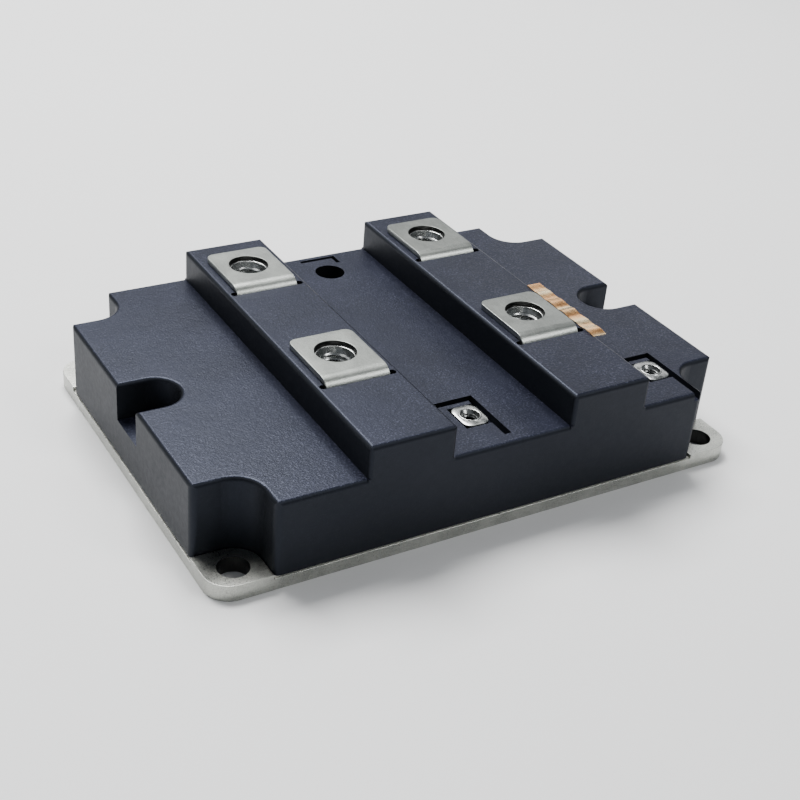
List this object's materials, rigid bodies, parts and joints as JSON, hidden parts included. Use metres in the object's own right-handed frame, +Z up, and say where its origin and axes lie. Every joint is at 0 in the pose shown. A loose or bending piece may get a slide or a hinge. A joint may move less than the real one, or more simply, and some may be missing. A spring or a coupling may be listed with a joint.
{
  "type": "igbt module",
  "caption": "Flat high-power semiconductor module: baseplate with mounting holes, moulded case with two raised ridges, folded screw terminals and small auxiliary terminals.",
  "frame": {"origin": "centre of the baseplate's underside", "axes": "+X along the long front side to the right, +Y to the back long side, +Z up out of the deck"},
  "size_m": [0.14, 0.1, 0.0314],
  "materials": {
    "baseplate": "satin nickel plating",
    "case": "grained moulded polyester, blue-grey",
    "adhesive": "cured silicone adhesive",
    "gel": "clear soft gel",
    "terminal": "satin nickel plating",
    "main_nut": "nickel plated",
    "auxiliary_nut": "bright nickel plated",
    "copper_strip": "thin copper foil",
    "inner_copper": "bare copper",
    "inner_lead": "tinned strip",
    "board": "glass-fibre board",
    "resistor": "lacquered",
    "ceramic": "fired ceramic",
    "chip": "metallised silicon",
    "wire": "drawn aluminium"
  },
  "bodies": {
    "root": {"baseplate": "baseplate", "case": "case", "case_adhesive": "adhesive", "silicone_gel": "gel", "terminal_back_left": "terminal", "terminal_front_left": "terminal", "terminal_back_right": "terminal", "terminal_front_right": "terminal", "main_nuts": "main_nut", "auxiliary_nuts": "auxiliary_nut", "copper_strip": "copper_strip", "collector_bus": "inner_copper", "emitter_bus": "inner_copper", "gate_lead": "inner_lead", "sense_lead": "inner_lead", "gate_board": "board", "gate_resistors": "resistor", "substrate_1": "ceramic", "substrate_2": "ceramic", "substrate_3": "ceramic", "substrate_4": "ceramic", "bottom_copper_1": "inner_copper", "bottom_copper_2": "inner_copper", "bottom_copper_3": "inner_copper", "bottom_copper_4": "inner_copper", "top_copper_1": "inner_copper", "top_copper_2": "inner_copper", "top_copper_3": "inner_copper", "top_copper_4": "inner_copper", "igbt_chips_1": "chip", "igbt_chips_2": "chip", "igbt_chips_3": "chip", "igbt_chips_4": "chip", "diode_chips_1": "chip", "diode_chips_2": "chip", "diode_chips_3": "chip", "diode_chips_4": "chip", "bond_wires_1": "wire", "bond_wires_2": "wire", "bond_wires_3": "wire", "bond_wires_4": "wire"}
  },
  "joints": []
}
